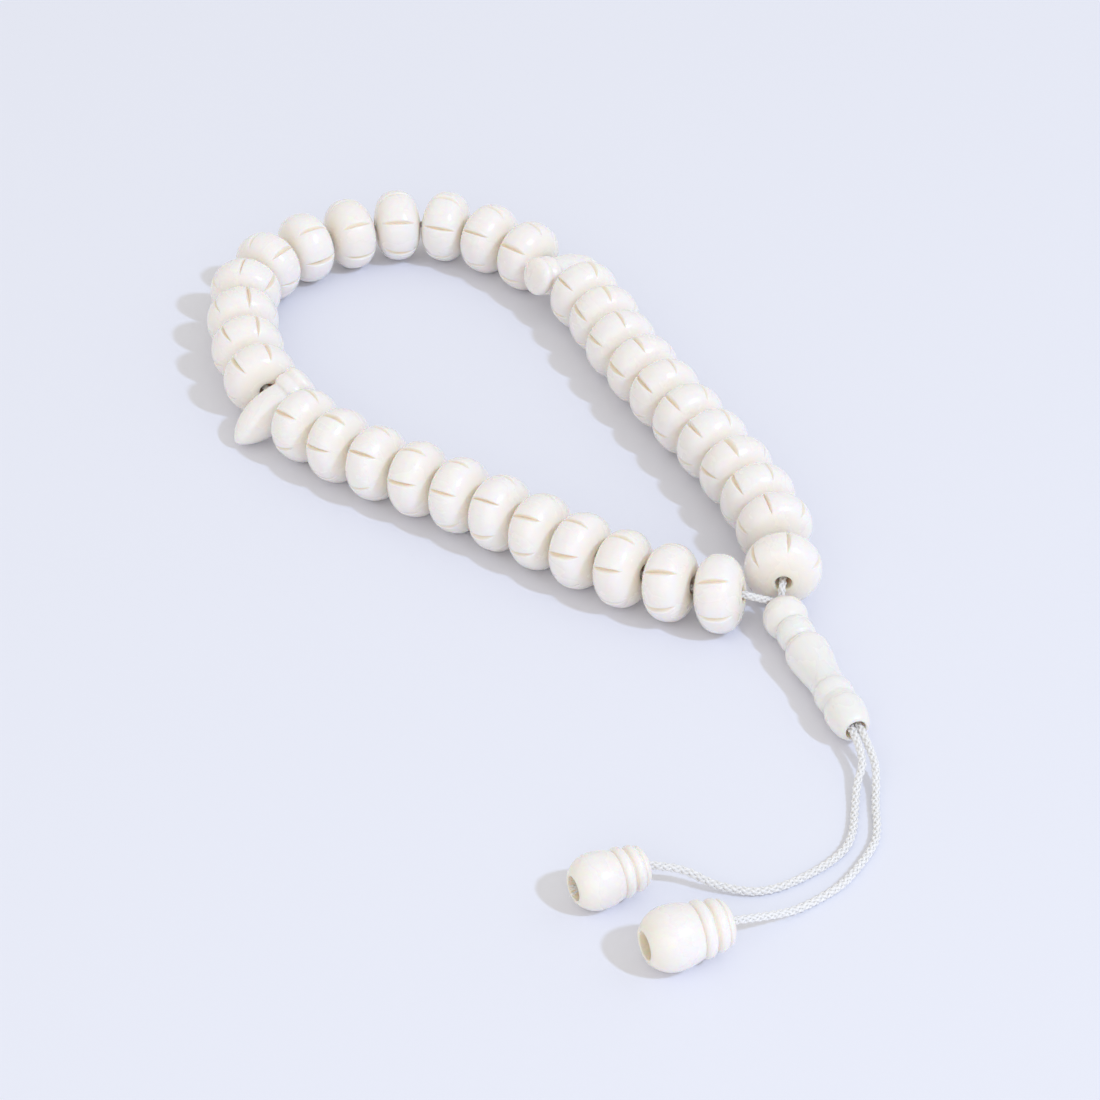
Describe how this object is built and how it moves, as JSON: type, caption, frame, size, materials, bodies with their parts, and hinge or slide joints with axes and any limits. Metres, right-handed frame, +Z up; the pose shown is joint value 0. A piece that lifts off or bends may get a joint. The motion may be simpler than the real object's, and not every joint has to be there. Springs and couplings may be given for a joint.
{
  "type": "misbaha prayer beads",
  "caption": "String of turned and carved bone prayer beads with two cross-drilled dividers, a tall imame, and two white cord tails with turned end beads.",
  "frame": {"origin": "middle of the bounding box on the plane that the beads lie on", "axes": "+Y from the tails towards the far end of the loop, +Z up from the plane it lies on, +X to the right"},
  "size_m": [0.1056, 0.187, 0.0122],
  "materials": {
    "bone": "polished cream bone",
    "cord": "glossy white braided cord"
  },
  "bodies": {
    "cord": {"loop_cord": "cord", "tail_cord_front": "cord", "tail_cord_rear": "cord", "knot_front": "cord", "knot_rear": "cord"},
    "bead_01": {"bead_01": "bone"},
    "bead_02": {"bead_02": "bone"},
    "bead_03": {"bead_03": "bone"},
    "bead_04": {"bead_04": "bone"},
    "bead_05": {"bead_05": "bone"},
    "bead_06": {"bead_06": "bone"},
    "bead_07": {"bead_07": "bone"},
    "bead_08": {"bead_08": "bone"},
    "bead_09": {"bead_09": "bone"},
    "bead_10": {"bead_10": "bone"},
    "bead_11": {"bead_11": "bone"},
    "bead_12": {"bead_12": "bone"},
    "bead_13": {"bead_13": "bone"},
    "bead_14": {"bead_14": "bone"},
    "bead_15": {"bead_15": "bone"},
    "bead_16": {"bead_16": "bone"},
    "bead_17": {"bead_17": "bone"},
    "bead_18": {"bead_18": "bone"},
    "bead_19": {"bead_19": "bone"},
    "bead_20": {"bead_20": "bone"},
    "bead_21": {"bead_21": "bone"},
    "bead_22": {"bead_22": "bone"},
    "bead_23": {"bead_23": "bone"},
    "bead_24": {"bead_24": "bone"},
    "bead_25": {"bead_25": "bone"},
    "bead_26": {"bead_26": "bone"},
    "bead_27": {"bead_27": "bone"},
    "bead_28": {"bead_28": "bone"},
    "bead_29": {"bead_29": "bone"},
    "bead_30": {"bead_30": "bone"},
    "bead_31": {"bead_31": "bone"},
    "bead_32": {"bead_32": "bone"},
    "bead_33": {"bead_33": "bone"},
    "divider_1": {"divider_1": "bone"},
    "divider_2": {"divider_2": "bone"},
    "imame": {"imame": "bone"},
    "end_bead_front": {"end_bead_front": "bone"},
    "end_bead_rear": {"end_bead_rear": "bone"}
  },
  "joints": [
    {"name": "bead_01_slide", "type": "slide", "parent": "cord", "child": "bead_01", "axis": [0.0281, 0.9996, 0], "range_m": [0, 0.0022]},
    {"name": "bead_02_spin", "type": "hinge", "parent": "cord", "child": "bead_02", "pos_m": [0.03978, 0.00092, 0.0061], "axis": [-0.1983, 0.9802, 0], "continuous": true},
    {"name": "bead_03_spin", "type": "hinge", "parent": "cord", "child": "bead_03", "pos_m": [0.03755, 0.00849, 0.0061], "axis": [-0.3453, 0.9385, 0], "continuous": true},
    {"name": "bead_04_spin", "type": "hinge", "parent": "cord", "child": "bead_04", "pos_m": [0.03444, 0.01575, 0.0061], "axis": [-0.4234, 0.906, 0], "continuous": true},
    {"name": "bead_05_spin", "type": "hinge", "parent": "cord", "child": "bead_05", "pos_m": [0.03097, 0.02285, 0.0061], "axis": [-0.4583, 0.8888, 0], "continuous": true},
    {"name": "bead_06_spin", "type": "hinge", "parent": "cord", "child": "bead_06", "pos_m": [0.02726, 0.02982, 0.0061], "axis": [-0.4638, 0.886, 0], "continuous": true},
    {"name": "bead_07_spin", "type": "hinge", "parent": "cord", "child": "bead_07", "pos_m": [0.02367, 0.03686, 0.0061], "axis": [-0.448, 0.894, 0], "continuous": true},
    {"name": "bead_08_spin", "type": "hinge", "parent": "cord", "child": "bead_08", "pos_m": [0.02014, 0.04392, 0.0061], "axis": [-0.4465, 0.8948, 0], "continuous": true},
    {"name": "bead_09_spin", "type": "hinge", "parent": "cord", "child": "bead_09", "pos_m": [0.01673, 0.05105, 0.0061], "axis": [-0.391, 0.9204, 0], "continuous": true},
    {"name": "bead_10_spin", "type": "hinge", "parent": "cord", "child": "bead_10", "pos_m": [0.014, 0.05846, 0.0061], "axis": [-0.3539, 0.9353, 0], "continuous": true},
    {"name": "bead_11_spin", "type": "hinge", "parent": "cord", "child": "bead_11", "pos_m": [0.01074, 0.06565, 0.0061], "axis": [-0.4724, 0.8814, 0], "continuous": true},
    {"name": "bead_12_spin", "type": "hinge", "parent": "cord", "child": "bead_12", "pos_m": [0.00109, 0.07792, 0.0061], "axis": [-0.7337, 0.6795, 0], "continuous": true},
    {"name": "bead_13_spin", "type": "hinge", "parent": "cord", "child": "bead_13", "pos_m": [-0.00562, 0.08337, 0.0061], "axis": [-0.8197, 0.5728, 0], "continuous": true},
    {"name": "bead_14_spin", "type": "hinge", "parent": "cord", "child": "bead_14", "pos_m": [-0.01327, 0.0873, 0.0061], "axis": [-0.9651, 0.262, 0], "continuous": true},
    {"name": "bead_15_spin", "type": "hinge", "parent": "cord", "child": "bead_15", "pos_m": [-0.02185, 0.08771, 0.0061], "axis": [-0.9892, -0.1463, 0], "continuous": true},
    {"name": "bead_16_spin", "type": "hinge", "parent": "cord", "child": "bead_16", "pos_m": [-0.03001, 0.08497, 0.0061], "axis": [-0.8985, -0.4389, 0], "continuous": true},
    {"name": "bead_17_spin", "type": "hinge", "parent": "cord", "child": "bead_17", "pos_m": [-0.03746, 0.08058, 0.0061], "axis": [-0.8147, -0.5799, 0], "continuous": true},
    {"name": "bead_18_spin", "type": "hinge", "parent": "cord", "child": "bead_18", "pos_m": [-0.04364, 0.0746, 0.0061], "axis": [-0.5684, -0.8228, 0], "continuous": true},
    {"name": "bead_19_spin", "type": "hinge", "parent": "cord", "child": "bead_19", "pos_m": [-0.04695, 0.06668, 0.0061], "axis": [-0.1731, -0.9849, 0], "continuous": true},
    {"name": "bead_20_spin", "type": "hinge", "parent": "cord", "child": "bead_20", "pos_m": [-0.04682, 0.05806, 0.0061], "axis": [0.1122, -0.9937, 0], "continuous": true},
    {"name": "bead_21_spin", "type": "hinge", "parent": "cord", "child": "bead_21", "pos_m": [-0.04543, 0.04953, 0.0061], "axis": [0.2218, -0.9751, 0], "continuous": true},
    {"name": "bead_22_spin", "type": "hinge", "parent": "cord", "child": "bead_22", "pos_m": [-0.04286, 0.04128, 0.0061], "axis": [0.3746, -0.9272, 0], "continuous": true},
    {"name": "bead_23_spin", "type": "hinge", "parent": "cord", "child": "bead_23", "pos_m": [-0.03461, 0.02804, 0.0061], "axis": [0.6675, -0.728, 0.1564], "continuous": true},
    {"name": "bead_24_spin", "type": "hinge", "parent": "cord", "child": "bead_24", "pos_m": [-0.02891, 0.02257, 0.0061], "axis": [0.7507, -0.6418, 0.1564], "continuous": true},
    {"name": "bead_25_spin", "type": "hinge", "parent": "cord", "child": "bead_25", "pos_m": [-0.02264, 0.01777, 0.0061], "axis": [0.8147, -0.5584, 0.1564], "continuous": true},
    {"name": "bead_26_spin", "type": "hinge", "parent": "cord", "child": "bead_26", "pos_m": [-0.01596, 0.01355, 0.0061], "axis": [0.8406, -0.5185, 0.1564], "continuous": true},
    {"name": "bead_27_spin", "type": "hinge", "parent": "cord", "child": "bead_27", "pos_m": [-0.00929, 0.00932, 0.0061], "axis": [0.8175, -0.5542, 0.1564], "continuous": true},
    {"name": "bead_28_spin", "type": "hinge", "parent": "cord", "child": "bead_28", "pos_m": [-0.00289, 0.00469, 0.0061], "axis": [0.7906, -0.592, 0.1564], "continuous": true},
    {"name": "bead_29_spin", "type": "hinge", "parent": "cord", "child": "bead_29", "pos_m": [0.00342, -0.00006, 0.0061], "axis": [0.7904, -0.5923, 0.1564], "continuous": true},
    {"name": "bead_30_spin", "type": "hinge", "parent": "cord", "child": "bead_30", "pos_m": [0.00971, -0.00484, 0.0061], "axis": [0.7884, -0.5949, 0.1564], "continuous": true},
    {"name": "bead_31_spin", "type": "hinge", "parent": "cord", "child": "bead_31", "pos_m": [0.0162, -0.00934, 0.0061], "axis": [0.8509, -0.5015, 0.1564], "continuous": true},
    {"name": "bead_32_spin", "type": "hinge", "parent": "cord", "child": "bead_32", "pos_m": [0.02329, -0.0128, 0.0061], "axis": [0.9109, -0.3817, 0.1564], "continuous": true},
    {"name": "bead_33_spin", "type": "hinge", "parent": "cord", "child": "bead_33", "pos_m": [0.03071, -0.01551, 0.0061], "axis": [0.9652, -0.2094, 0.1564], "continuous": true},
    {"name": "divider_1_spin", "type": "hinge", "parent": "cord", "child": "divider_1", "pos_m": [0.00656, 0.07216, 0.0061], "axis": [-0.6224, 0.7827, 0], "continuous": true},
    {"name": "divider_2_spin", "type": "hinge", "parent": "cord", "child": "divider_2", "pos_m": [-0.03932, 0.03417, 0.0061], "axis": [0.5261, -0.8504, 0], "continuous": true},
    {"name": "imame_spin", "type": "hinge", "parent": "cord", "child": "imame", "pos_m": [0.0395, -0.0149, 0.00355], "axis": [0.3256, -0.9455, 0], "continuous": true},
    {"name": "end_bead_front_spin", "type": "hinge", "parent": "cord", "child": "end_bead_front", "pos_m": [0.0177, -0.09, 0.0047], "axis": [0.9239, 0.3827, 0], "continuous": true},
    {"name": "end_bead_rear_spin", "type": "hinge", "parent": "cord", "child": "end_bead_rear", "pos_m": [0.0081, -0.0782, 0.00415], "axis": [0.8988, 0.4384, 0], "continuous": true}
  ]
}
